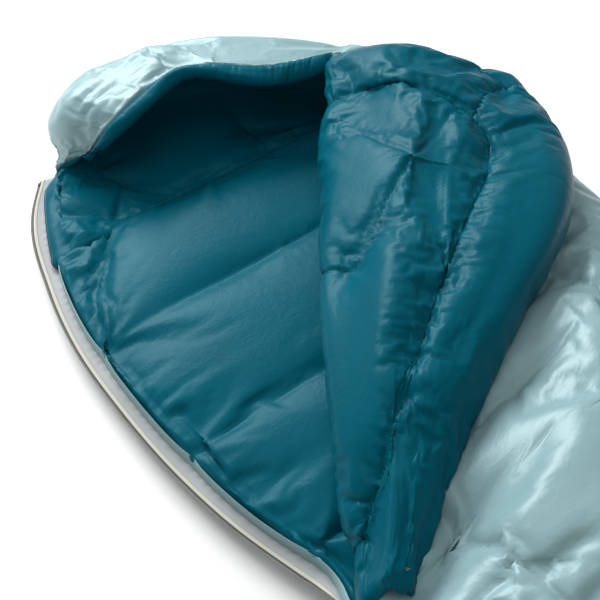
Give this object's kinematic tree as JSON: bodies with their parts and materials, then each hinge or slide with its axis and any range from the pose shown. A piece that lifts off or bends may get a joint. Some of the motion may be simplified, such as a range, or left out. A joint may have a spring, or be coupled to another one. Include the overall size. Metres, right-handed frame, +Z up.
{
  "type": "mummy sleeping bag",
  "caption": "Hooded mummy sleeping bag of quilted nylon, zip open down one side and the top quilt folded back over a diagonal to show the lining.",
  "frame": {"origin": "middle of the bag's footprint, on the floor it lies on", "axes": "+Y towards the hood, +X away from the zip side, +Z up"},
  "size_m": [0.822, 2.0026, 0.2523],
  "materials": {
    "shell_nylon": "satin woven nylon",
    "lining_nylon": "satin woven nylon",
    "down_fill": "loose down",
    "grosgrain": "ribbed tape",
    "coil_nylon": "satin nylon coil",
    "zip_metal": "satin"
  },
  "bodies": {
    "bag": {"bottom_fill_1": "down_fill", "bottom_fill_2": "down_fill", "bottom_fill_3": "down_fill", "bottom_fill_4": "down_fill", "bottom_fill_5": "down_fill", "bottom_fill_6": "down_fill", "bottom_fill_7": "down_fill", "bottom_fill_8": "down_fill", "bottom_lining": "lining_nylon", "bottom_shell": "shell_nylon", "fold_fill": "down_fill", "fold_lining": "lining_nylon", "foot_fill": "down_fill", "foot_lining": "lining_nylon", "foot_shell": "shell_nylon", "hood_fill_crown": "down_fill", "hood_fill_left": "down_fill", "hood_fill_right": "down_fill", "hood_lining": "lining_nylon", "hood_shell": "shell_nylon", "top_fill_1": "down_fill", "top_fill_2": "down_fill", "top_fill_3": "down_fill", "top_fill_4": "down_fill", "top_fill_5": "down_fill", "top_fill_6": "down_fill", "top_fill_7": "down_fill", "top_fill_8": "down_fill", "top_fill_9": "down_fill", "top_lining": "lining_nylon", "top_shell": "shell_nylon", "zip_coil_bottom": "coil_nylon", "zip_coil_top": "coil_nylon", "zip_stop_bottom": "coil_nylon", "zip_stop_top": "zip_metal", "zip_tape_bottom": "grosgrain", "zip_tape_top": "grosgrain"},
    "flap": {"draft_collar_cover": "lining_nylon", "draft_collar_fill": "down_fill", "draft_tube_cover": "lining_nylon", "draft_tube_fill": "down_fill", "flap_fill_1": "down_fill", "flap_fill_2": "down_fill", "flap_fill_3": "down_fill", "flap_fill_4": "down_fill", "flap_lining": "lining_nylon", "flap_shell": "shell_nylon", "flap_zip_coil": "coil_nylon", "flap_zip_stop": "zip_metal", "flap_zip_tape": "grosgrain"},
    "slider": {"slider_body": "zip_metal"},
    "pull": {"slider_pull": "zip_metal"}
  },
  "joints": [
    {"name": "flap_fold", "type": "hinge", "parent": "bag", "child": "flap", "pos_m": [-0.05758, 0.36115, 0.1325], "axis": [-0.5924, -0.7996, -0.0989], "range_deg": [0, 130], "deforming": ["fold_lining", "fold_fill"]},
    {"name": "slider_slide", "type": "slide", "parent": "bag", "child": "slider", "axis": [0.1036, -0.9946, 0], "range_m": [0, 0.515]},
    {"name": "pull_pivot", "type": "hinge", "parent": "slider", "child": "pull", "pos_m": [-0.3579, -0.05645, 0.056], "axis": [0, 0, -1], "range_deg": [0, 165]}
  ]
}
